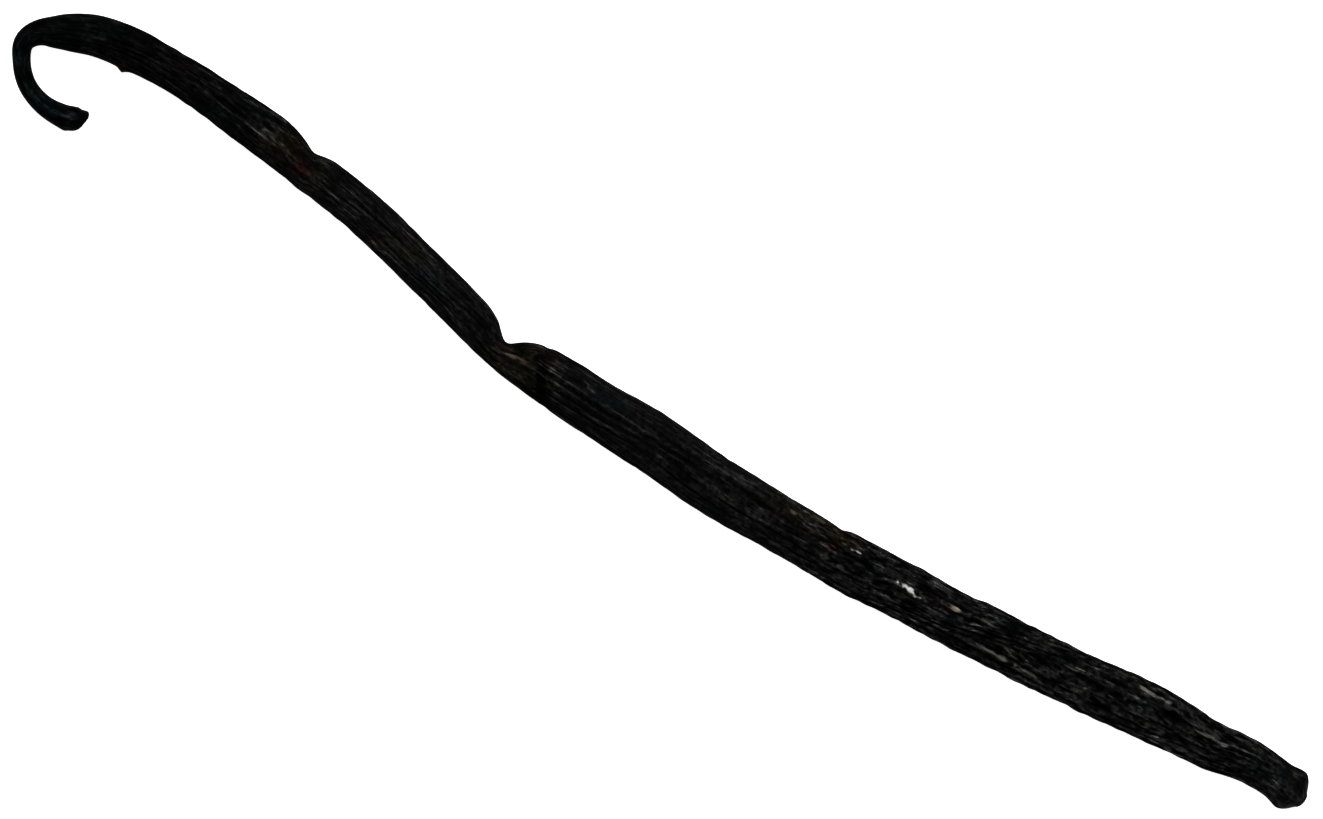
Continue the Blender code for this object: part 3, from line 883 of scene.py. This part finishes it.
@dataclass(frozen=True)
class CuredSkin:
    """Finish of the pod: near-black skin, with crests painted greyer as their sheen, which also carry the oil,
    and dull hollows painted darker as shade.
    """

    # Darkest skin, and the crests' grey, which is painted sheen. Then the painted shade that the valleys go
    # to, and by which share
    deep: Colour = (0.0010, 0.0009, 0.0009)
    crest_sheen: Colour = (0.0660, 0.0648, 0.0632)
    valley_shade: Colour = (0.0005, 0.0005, 0.0005)
    valley_shade_share: float = 0.90
    specular_level: float = 0.03
    # Length along the pod and width across it of the streaks, beads, silky ridges, mottles, blotches and grit
    streak_size: Span = (2.6, 0.48)
    bead_size: Span = (1.15, 0.33)
    silk_size: Span = (5.0, 0.46)
    mottle_size: Span = (1.5, 1.0)
    blotch_size: Span = (3.2, 0.95)
    grit_size: Span = (0.55, 0.36)
    # Detail of the relief's noises, and of the blotches and grit
    detail: float = 2.5
    plain_detail: float = 1.0
    # Share of beads in the relief, beside streaks
    bead_share: float = 0.55
    # Silky ridges are soft: the share by which their painted light and oil go to a level, and their bump goes
    # down
    silk_softness: float = 0.70
    silk_light: float = 0.32
    silk_oil: float = 0.12
    silk_smoothness: float = 0.40
    # Spans of the noises that go from dark to painted light, and how much of that painted light the blotches
    # and grit can take away
    crest_sheen_span: Span = (0.40, 0.61)
    oil_span: Span = (0.46, 0.64)
    blotch_span: Span = (0.36, 0.60)
    blotch_loss: float = 0.65
    grit_span: Span = (0.36, 0.62)
    grit_loss: float = 0.75
    # What the painted light is multiplied by, as the grit has taken some away
    grit_gain: float = 1.55
    # A tint's brightness in the hollows of the skin, and how much it gains on the crests with their painted
    # light
    tint_dark: float = 0.25
    tint_gain: float = 1.90
    # How much the relief breaks the flecks up, and the span of their share over which they set in
    fleck_break: float = 1.8
    fleck_span: Span = (0.28, 0.90)
    # Roughness of the skin in the hollow of a streak, with what a streak and a valley add to it
    roughness: float = 0.42
    streak_roughness: float = 0.20
    hollow_roughness: float = 0.30
    # The oil on top: its roughness, and the depth of valley where it ends
    oil_roughness: float = 0.17
    dry_span: Span = (0.05, 0.75)
    # Height of the relief's bumps in millimetres
    bump_height: float = 0.16
    # How much less oily and less bumpy mottled skin is, and how much less oily tinted skin is
    mottle_dryness: float = 0.60
    mottle_smoothness: float = 0.75
    tint_dryness: float = 0.85

    def make(self) -> bpy.types.Material:
        """Builds the material: colour with painted sheen and shade, oil, roughness and bump from noises,
        valleys, tints and flecks.

        Returns:
            The material, with Principled BSDF as its only shader.
        """
        material = bpy.data.materials.new("cured_skin")
        material.use_nodes = True
        bench = NodeBench(material.node_tree)
        inputs = bench.tree.nodes["Principled BSDF"].inputs
        grain = bench.attribute("grain", "Vector")
        hollow = bench.attribute("hollow", "Fac")
        sheen_and_oil = bench.attribute("sheen_and_oil", "Fac")
        silky = bench.attribute("silk", "Fac")
        mottled = bench.attribute("mottle", "Fac")
        streaks = bench.noise(grain, self.streak_size, self.detail)
        relief = streaks
        for share, size in (
            (self.bead_share, self.bead_size), (silky, self.silk_size), (mottled, self.mottle_size)
        ):
            relief = bench.mix(Mixed.NUMBERS, share, relief, bench.noise(grain, size, self.detail))
        blotches = bench.spread(bench.noise(grain, self.blotch_size, self.plain_detail), self.blotch_span)
        lit = bench.math("MULTIPLY_ADD", blotches, self.blotch_loss, 1 - self.blotch_loss)
        grit = bench.spread(bench.noise(grain, self.grit_size, self.plain_detail), self.grit_span)
        least = self.grit_gain * (1 - self.grit_loss)
        grit = bench.math("MULTIPLY_ADD", grit, self.grit_gain * self.grit_loss, least)
        # The crests' painted light: the share of the grey crest colour that stands in for their sheen
        soft = bench.math("MULTIPLY", silky, self.silk_softness)
        light = bench.math("MULTIPLY", lit, bench.spread(relief, self.crest_sheen_span))
        light = bench.math("MULTIPLY", bench.mix(Mixed.NUMBERS, soft, light, self.silk_light), grit)
        bench.put(inputs["Base Color"], self.coloured(bench, light, relief, hollow, sheen_and_oil))
        rough = bench.math("MULTIPLY_ADD", streaks, self.streak_roughness, self.roughness)
        rough = bench.math("MULTIPLY_ADD", hollow, self.hollow_roughness, rough, clamp=True)
        bench.put(inputs["Roughness"], rough)
        inputs["Specular IOR Level"].default_value = self.specular_level
        dry = bench.math("SUBTRACT", 1.0, bench.spread(hollow, self.dry_span))
        oil = bench.math("MULTIPLY", bench.math("MULTIPLY", lit, bench.spread(relief, self.oil_span)), dry)
        oil = bench.math("MULTIPLY", bench.mix(Mixed.NUMBERS, soft, oil, self.silk_oil), sheen_and_oil)
        oily = bench.math("MULTIPLY_ADD", mottled, -self.mottle_dryness, 1.0)
        oily = bench.math("MULTIPLY_ADD", bench.attribute("tint", "Alpha"), -self.tint_dryness, oily)
        bench.put(inputs["Coat Weight"], bench.math("MULTIPLY", oil, oily, clamp=True))
        inputs["Coat Roughness"].default_value = self.oil_roughness
        bumpy = bench.math("MULTIPLY_ADD", mottled, -self.mottle_smoothness, 1.0)
        bumpy = bench.math("MULTIPLY_ADD", silky, -self.silk_smoothness, bumpy, clamp=True)
        normal = bench.bump(bench.math("MULTIPLY", relief, bumpy), self.bump_height * MM)
        bench.put(inputs["Normal"], normal)
        bench.put(inputs["Coat Normal"], normal)
        return material

    def coloured(
        self, bench: NodeBench, light: Socket, relief: Socket, hollow: Socket, sheen_and_oil: Socket
    ) -> Socket:
        """Colour of the skin: dark to crest by the light, which is painted sheen, with painted shade in the
        valleys, then the tints and flecks.

        Args:
            bench: makes the nodes.
            light: share of the crest's colour, which is painted sheen.
            relief: noise of the skin, which breaks the flecks up.
            hollow: how deep a valley is.
            sheen_and_oil: share of light and oil at each place of the pod.

        Returns:
            The colour.
        """
        # Painted sheen on the crests, faded towards the flanks by painted shade
        shown = bench.math("MULTIPLY", light, sheen_and_oil, clamp=True)
        skin = bench.mix(Mixed.COLOURS, shown, self.deep, self.crest_sheen)
        # Painted shade in the valleys, darkest where they are most hollow
        sunk = bench.math("MULTIPLY", hollow, self.valley_shade_share)
        skin = bench.mix(Mixed.COLOURS, sunk, skin, self.valley_shade)
        # The tints take the crests' painted light too
        bright = bench.math("MULTIPLY_ADD", light, self.tint_gain, self.tint_dark)
        tint = bench.scaled(bench.attribute("tint", "Color"), bright)
        skin = bench.mix(Mixed.COLOURS, bench.attribute("tint", "Alpha"), skin, tint)
        # The flecks, many of them painted glints, broken up by the relief
        broken = bench.math("SUBTRACT", relief, NOISE_MIDDLE)
        flecks = bench.math("MULTIPLY_ADD", broken, self.fleck_break, bench.attribute("fleck", "Alpha"))
        flecks = bench.spread(flecks, self.fleck_span)
        return bench.mix(Mixed.COLOURS, flecks, skin, bench.attribute("fleck", "Color"))


@dataclass(frozen=True)
class PaleFloorFinish:
    """Finish of the floor: plain white card."""

    colour: Colour = (0.45, 0.45, 0.45)
    roughness: float = 0.9
    glow: float = 0.94

    def make(self) -> bpy.types.Material:
        """Builds the material, which glows so that the bean's own shadow stays faint.

        Returns:
            The material.
        """
        material = bpy.data.materials.new("pale_card")
        material.use_nodes = True
        inputs = material.node_tree.nodes["Principled BSDF"].inputs
        inputs["Base Color"].default_value = (*self.colour, 1.0)
        inputs["Roughness"].default_value = self.roughness
        inputs["Emission Color"].default_value = (1.0, 1.0, 1.0, 1.0)
        inputs["Emission Strength"].default_value = self.glow
        return material


@dataclass(frozen=True)
class VanillaPod:
    """The whole bean: stalk, pod and blossom end as one closed mesh."""

    form: PodForm = PodForm()
    fine: FineSkin = FineSkin()
    finish: CuredSkin = CuredSkin()
    scar: ClosedEnd = ClosedEnd(
        rings=((0.93, -0.03), (0.84, 0.02), (0.70, 0.16), (0.52, 0.25), (0.34, 0.30), (0.16, 0.34)),
        middle=0.35, hollow=0.35, sheen_and_oil=0.30,
    )
    crown: ClosedEnd = ClosedEnd(
        rings=((0.86, 0.16), (0.70, 0.28), (0.52, 0.36), (0.34, 0.38), (0.16, 0.30)),
        middle=0.26, hollow=0.25, sheen_and_oil=0.45,
    )
    columns_per_wrinkle: int = 10
    # Rows of skin points: at these stations, this many rows have been laid
    row_stations: tuple[float, ...] = (0.0, 2.5, 16.0, 173.0, 178.5)
    row_counts: tuple[int, ...] = (0, 12, 46, 464, 484)
    # Radius of the circle on which the grain goes round the pod
    grain_radius: float = 2.6
    # Depth of a valley that counts as fully hollow
    full_hollow: float = 0.42
    # Painted light and oil fade from the top to the flanks, by the sine of the angle, which paints shade on
    # the flanks, and change along the pod
    flank: Span = (0.15, 0.70)
    flank_shade: float = 0.15
    sheen_and_oil_shares: Table = (
        (0.0, 0.28), (14.0, 0.24), (20.0, 0.21), (34.0, 0.31), (43.0, 0.62), (62.0, 0.74), (76.0, 0.68),
        (84.0, 0.62), (100.0, 0.70), (112.0, 0.86), (122.0, 0.98), (168.0, 1.02), (174.0, 0.85),
        (178.5, 0.75),
    )
    # Share of long silky ridges instead of beads. On the knob it softens the mottled skin
    silks: Table = (
        (0.0, 0.0), (20.0, 0.1), (42.0, 0.1), (50.0, 0.6), (66.0, 0.7), (72.0, 0.65), (77.0, 0.2),
        (83.0, 0.2), (88.0, 0.65), (100.0, 0.75), (112.0, 0.4), (122.0, 0.0), (172.0, 0.0), (176.0, 0.7),
        (178.5, 0.8),
    )
    # Share of the smooth, mottled skin of the stalk and the knob
    mottles: Table = (
        (0.0, 1.0), (14.0, 1.0), (20.0, 0.75), (28.0, 0.35), (40.0, 0.1), (48.0, 0.0), (171.0, 0.0),
        (175.0, 0.8), (178.5, 1.0),
    )
    # How much fainter the painted shade of the valleys is on mottled skin
    mottle_fading: float = 0.70
    # Noise that moves the edges of the tints, and how much of it moves those of the flecks
    ragged: SkinNoise = SkinNoise(seed=16, cells_round=18, cell_length=1.6)
    fleck_raggedness: float = 0.3
    # Bands of the map, and the margin round each of them as a share of it
    bands: int = 3
    band_margin: float = 0.012

    def rows(self) -> np.ndarray:
        """Stations of the rows of skin points, closer together at both ends."""
        return np.interp(np.arange(self.row_counts[-1] + 1), self.row_counts, self.row_stations)[:, None]

    def bearings(self) -> np.ndarray:
        """Bearings of the columns: the first one is in the valley of a wrinkle."""
        columns = self.form.wrinkles * self.columns_per_wrinkle
        return TURN * np.arange(columns)[None, :] / columns

    def build(self) -> bpy.types.Object:
        """Makes the mesh with its map, and dresses it.

        Returns:
            The pod's object, at the origin.
        """
        form = self.form
        rows, bearings = self.rows(), self.bearings()
        stations = form.leaning(rows, form.wandered(rows, bearings))
        angles = form.wandered(stations, bearings)
        skin, hollow = self.skin_points(stations, bearings, angles)
        ends = []
        for end, rim, station in ((self.scar, skin[0], rows[0]), (self.crown, skin[-1], rows[-1])):
            heading = np.append(form.middle_line(station)[1][0], 0.0)
            ends.append(end.points(rim, heading, bearings))
        points = with_ends(skin, *ends) * MM
        grid = np.concatenate([ends[0][-2::-1], skin, ends[1][:-1]])
        mesh = bpy.data.meshes.new("vanilla_bean")
        mesh.from_pydata(points.tolist(), [], closed_tube_faces(*grid.shape[:2]))
        mesh.shade_smooth()
        self.lay_map(mesh, grid)
        self.dress(mesh, stations, bearings, angles, hollow)
        pod = bpy.data.objects.new("vanilla_bean", mesh)
        bpy.context.scene.collection.objects.link(pod)
        return pod

    def skin_points(
        self, stations: np.ndarray, bearings: np.ndarray, angles: np.ndarray
    ) -> tuple[np.ndarray, np.ndarray]:
        """Points of the skin: an oval section across the middle line, moved along its normal by the relief.

        Args:
            stations: stations of the points.
            bearings: bearings of the points.
            angles: angles of the points.

        Returns:
            The points, and how hollow each place is, from 0 on a crest to 1 in the deepest valley.
        """
        form, fine = self.form, self.fine
        left, right = at_stations(form.half_widths, stations)
        height = at_stations(form.half_heights, stations)[0]
        half = (left + right) / 2
        out_across = np.cos(angles) / half
        out_up = np.sin(angles) / height
        size = np.hypot(out_across, out_up)
        pressed = form.pressed(angles)
        wrinkled = form.wrinkle_depth(stations, bearings, angles)
        creased = wrinkled + fine.sunk(stations, bearings) * pressed + fine.grooved(stations, angles)
        out = form.raised(stations, angles) + fine.raised(stations, bearings, angles) * pressed - creased
        knob = form.knob(stations, angles)
        across = (left - right) / 2 + half * knob * np.cos(angles) + out * out_across / size
        up = height * knob * np.sin(angles) + out * out_up / size
        rise = np.maximum(height + at_stations(form.clearances, stations)[0] + up, 0.0)
        point, heading = form.middle_line(stations)
        sideways = np.stack([-heading[..., 1], heading[..., 0]], axis=-1)
        forward = form.scar_slant * across - form.scar_overhang + fine.retreat(angles)
        forward = forward * (1 - ramp(stations, 0.0, form.scar_reach))
        plan = point + across[..., None] * sideways + forward[..., None] * heading
        folds = sum(crease.depth_at(stations, angles) for crease in form.creases)
        hollow = np.clip(creased / self.full_hollow + folds, 0.0, 1.0)
        return np.concatenate([plan, rise[..., None]], axis=-1), hollow

    def dress(
        self,
        mesh: bpy.types.Mesh,
        stations: np.ndarray,
        bearings: np.ndarray,
        angles: np.ndarray,
        hollow: np.ndarray,
    ) -> None:
        """Stores what the finish reads at each point, and puts the finish on.

        Args:
            mesh: the pod's mesh.
            stations: stations of the skin points.
            bearings: bearings of the skin points.
            angles: angles of the skin points.
            hollow: how hollow each of them is.
        """
        scar, crown = self.scar, self.crown
        columns = stations.shape[1]
        grain = self.grain(stations, bearings)
        # Painted shade on the flanks: they keep less of the painted light and of the oil
        top = 1 - self.flank_shade * (1 - ramp(np.sin(angles), *self.flank))
        sheen_and_oil = top * at_stations(self.sheen_and_oil_shares, stations)[0]
        silk = at_stations(self.silks, stations)[0]
        mottle = at_stations(self.mottles, stations)[0]
        hollow = hollow * (1 - self.mottle_fading * mottle)
        ragged = self.ragged.height(stations, bearings)
        tint = painted(PATCHES, stations, angles, ragged)
        flecks = [fleck for run in GLINT_RUNS for fleck in run.flecks()]
        fleck = painted(flecks, stations, angles, self.fleck_raggedness * ragged)
        grains = with_ends(grain, scar.drawn_in(grain[0]), crown.drawn_in(grain[-1]))
        put_attribute(mesh, "grain", "FLOAT_VECTOR", grains)
        for name, value, first, last in (
            ("hollow", hollow, scar.level(scar.hollow, columns), crown.level(crown.hollow, columns)),
            ("sheen_and_oil", sheen_and_oil, scar.level(scar.sheen_and_oil, columns), crown.level(crown.sheen_and_oil, columns)),
            ("silk", silk, scar.carried(silk[0]), crown.carried(silk[-1])),
            ("mottle", mottle, scar.level(0.0, columns), crown.carried(mottle[-1])),
        ):
            put_attribute(mesh, name, "FLOAT", with_ends(value, first, last))
        for name, colour in (("tint", tint), ("fleck", fleck)):
            ends = scar.carried(colour[0]), crown.carried(colour[-1])
            put_attribute(mesh, name, "FLOAT_COLOR", with_ends(colour, *ends))
        mesh.materials.append(self.finish.make())

    def grain(self, stations: np.ndarray, bearings: np.ndarray) -> np.ndarray:
        """Place for the streaks: the station, and a point on a circle at the bearing. No seam shows."""
        around = [self.grain_radius * np.cos(bearings), self.grain_radius * np.sin(bearings)]
        return np.stack(np.broadcast_arrays(stations, *around), axis=-1)

    def lay_map(self, mesh: bpy.types.Mesh, grid: np.ndarray) -> None:
        """Lays the skin out in bands, one over the other: along a band is along the pod, across is round it.

        Args:
            mesh: the pod's mesh, whose faces follow the grid.
            grid: its rows of points.
        """
        rows, columns = grid.shape[:2]
        steps = np.linalg.norm(np.diff(grid, axis=0), axis=-1).mean(axis=1)
        lengths = np.concatenate([[0.0], np.cumsum(steps)])
        marks = np.linspace(0, lengths[-1], self.bands + 1)
        splits = np.interp(marks, lengths, np.arange(rows)).round().astype(int)
        margin, inner = self.band_margin, 1 - 2 * self.band_margin
        column = np.arange(columns)
        band = np.clip(np.searchsorted(splits, np.arange(rows - 1), side="right") - 1, 0, self.bands - 1)
        start, end = lengths[splits[band]], lengths[splits[band + 1]]
        near = margin + inner * (lengths[:-1] - start) / (end - start)
        far = margin + inner * (lengths[1:] - start) / (end - start)
        low = (band[:, None] + margin + inner * column / columns) / self.bands
        high = (band[:, None] + margin + inner * (column + 1) / columns) / self.bands
        near, far = (np.broadcast_to(side[:, None], low.shape) for side in (near, far))
        quads = np.stack([near, low, near, high, far, high, far, low], axis=-1)
        # The middle of each closed end lies halfway out into the margin
        side = margin / 2 * np.ones(columns)
        first = np.stack([side, (low[0] + high[0]) / 2, near[0], high[0], near[0], low[0]], axis=-1)
        last = np.stack([1 - side, (low[-1] + high[-1]) / 2, far[-1], low[-1], far[-1], high[-1]], axis=-1)
        corners = np.concatenate([faces.ravel() for faces in (first, quads, last)])
        mesh.uv_layers.new(name="OFBake").data.foreach_set("uv", corners)


def closed_tube_faces(rows: int, columns: int) -> list[tuple[int, ...]]:
    """Faces of a closed tube: quads between its rows, and fans to point 0 and to the last point.

    Args:
        rows: how many rings of points there are.
        columns: how many points a ring has.

    Returns:
        The faces, all facing outwards.
    """
    grid = 1 + np.arange(rows * columns).reshape(rows, columns)
    onward = np.roll(grid, -1, axis=1)
    quads = np.stack([grid[:-1], onward[:-1], onward[1:], grid[1:]], axis=-1).reshape(-1, 4)
    first = np.stack([np.zeros(columns, int), onward[0], grid[0]], axis=-1)
    last = np.stack([np.full(columns, rows * columns + 1), grid[-1], onward[-1]], axis=-1)
    return first.tolist() + quads.tolist() + last.tolist()


def with_ends(skin: np.ndarray, first: np.ndarray, last: np.ndarray) -> np.ndarray:
    """Puts the rows of the closed ends before and after the skin's, in the order of the mesh's points.

    Args:
        skin: values for each row and column of the skin.
        first: rows that close the stalk's end, from its rim to its middle.
        last: rows that close the blossom end, from its rim to its middle.

    Returns:
        One value for each point of the mesh, with a single one for each middle.
    """
    grid = np.concatenate([first[-2::-1], skin, last[:-1]])
    return np.concatenate([first[-1:, 0], grid.reshape(-1, *skin.shape[2:]), last[-1:, 0]])


def put_attribute(mesh: bpy.types.Mesh, name: str, kind: str, values: np.ndarray) -> None:
    """Stores one value for each point of a mesh."""
    key = {"FLOAT": "value", "FLOAT_VECTOR": "vector", "FLOAT_COLOR": "color"}[kind]
    mesh.attributes.new(name, kind, "POINT").data.foreach_set(key, values.astype(np.float32).ravel())


def painted(
    patches: Sequence[Patch], stations: np.ndarray, angles: np.ndarray, ragged: np.ndarray
) -> np.ndarray:
    """Lays patches over each other: the colour is their mean by share, and the share is what they all cover.

    Args:
        patches: the patches.
        stations: stations of the points.
        angles: angles of the points.
        ragged: noise that moves their edges.

    Returns:
        Red, green, blue and share for each point.
    """
    colour = np.zeros((*stations.shape, 3))
    total = np.full(stations.shape, TRACE)
    bare = np.ones(stations.shape)
    for patch in patches:
        share = patch.share_at(stations, angles, ragged)
        colour += share[..., None] * np.array(patch.tint.value)
        total += share
        bare *= 1 - np.clip(share, 0.0, 1.0)
    return np.concatenate([colour / total[..., None], (1 - bare)[..., None]], axis=-1)


@dataclass(frozen=True)
class SoftBox:
    """A soft studio light: where it stands round the bean, its size in metres, and its power in watts."""

    name: str
    azimuth: float
    elevation: float
    distance: float
    width: float
    height: float
    power: float

    def place(self) -> bpy.types.Object:
        """Makes the light, aimed at the bean's middle. Azimuth 0 is along +X, and it grows towards +Y.

        Returns:
            The light's object, which the camera doesn't see.
        """
        light = bpy.data.lights.new(self.name, "AREA")
        light.shape = "RECTANGLE"
        light.size = self.width
        light.size_y = self.height
        light.energy = self.power
        a, e = math.radians(self.azimuth), math.radians(self.elevation)
        way = Vector((math.cos(a) * math.cos(e), math.sin(a) * math.cos(e), math.sin(e)))
        lamp = bpy.data.objects.new(self.name, light)
        turned = way.to_track_quat("Z", "Y").to_matrix().to_4x4()
        lamp.matrix_world = Matrix.Translation(way * self.distance) @ turned
        lamp.visible_camera = False
        bpy.context.scene.collection.objects.link(lamp)
        return lamp


@dataclass(frozen=True)
class Studio:
    """Plain pale floor, soft light from both sides, and the tone of the picture."""

    # Half the floor's side in metres
    floor_half: float = 3.0
    # The floor is this far below the bean, in millimetres, so that the two don't share a surface
    floor_gap: float = 0.02
    floor_finish: PaleFloorFinish = PaleFloorFinish()
    lights: tuple[SoftBox, ...] = (
        SoftBox("key_softbox", 121.0, 60.0, 1.5, 1.2, 0.60, 28.0),
        SoftBox("fill_softbox", -62.0, 42.0, 1.5, 0.9, 0.25, 4.5),
        SoftBox("far_softbox", 178.0, 40.0, 1.6, 0.35, 0.35, 1.5),
    )
    # Strength of the white sky, and the picture's gamma
    sky: float = 0.02
    tone: float = 0.65

    def build(self) -> None:
        """Makes the floor, the lights, the dim sky and the picture's tone."""
        half, z = self.floor_half, -self.floor_gap * MM
        mesh = bpy.data.meshes.new("pale_floor")
        corners = [(-half, -half, z), (half, -half, z), (half, half, z), (-half, half, z)]
        mesh.from_pydata(corners, [], [(0, 1, 2, 3)])
        mesh.materials.append(self.floor_finish.make())
        floor = bpy.data.objects.new("pale_floor", mesh)
        bpy.context.scene.collection.objects.link(floor)
        for light in self.lights:
            light.place()
        world = bpy.data.worlds.new("dim_studio")
        world.use_nodes = True
        background = world.node_tree.nodes["Background"].inputs
        background["Color"].default_value = (1.0, 1.0, 1.0, 1.0)
        background["Strength"].default_value = self.sky
        scene = bpy.context.scene
        scene.world = world
        scene.view_settings.view_transform = "Standard"
        scene.view_settings.gamma = self.tone


@dataclass(frozen=True)
class OverheadCamera:
    """The photograph's camera: straight above, rolled so that the bean runs down from the upper left."""

    lens: float = 100.0
    sensor: float = 36.0
    roll: float = 31.4
    # What the photograph's frame is centred on, in the bean's coordinates, and its scale there
    centre: tuple[float, float, float] = (-0.41, 1.03, 2.3)
    millimetres_per_pixel: float = 0.11

    def place(self) -> bpy.types.Object:
        """Makes the scene's camera, as high up as the frame's width and the lens ask.

        Returns:
            The camera's object.
        """
        data = bpy.data.cameras.new("overhead_camera")
        data.lens = self.lens
        data.sensor_width = self.sensor
        height = PHOTO_WIDTH * self.millimetres_per_pixel * self.lens / self.sensor
        camera = bpy.data.objects.new("overhead_camera", data)
        camera.location = Vector(self.centre) * MM + Vector((0.0, 0.0, height * MM))
        camera.rotation_euler = (0.0, 0.0, math.radians(self.roll))
        bpy.context.scene.collection.objects.link(camera)
        bpy.context.scene.camera = camera
        return camera


def main() -> None:
    """Builds the camera, the bean and the studio, and says what each one is."""
    logging.basicConfig(level=logging.INFO, format="%(message)s")
    camera = OverheadCamera().place()
    LOG.info("%s stands %.0f mm up", camera.name, camera.location.z / MM)
    pod = VanillaPod().build()
    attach(pod, "root")
    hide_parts("vanilla_pod")
    LOG.info("%s has %d faces and stands for the packed pod", pod.name, len(pod.data.polygons))
    studio = Studio()
    studio.build()
    LOG.info("pale floor and %d soft lights", len(studio.lights))


if __name__ == "__main__":
    main()
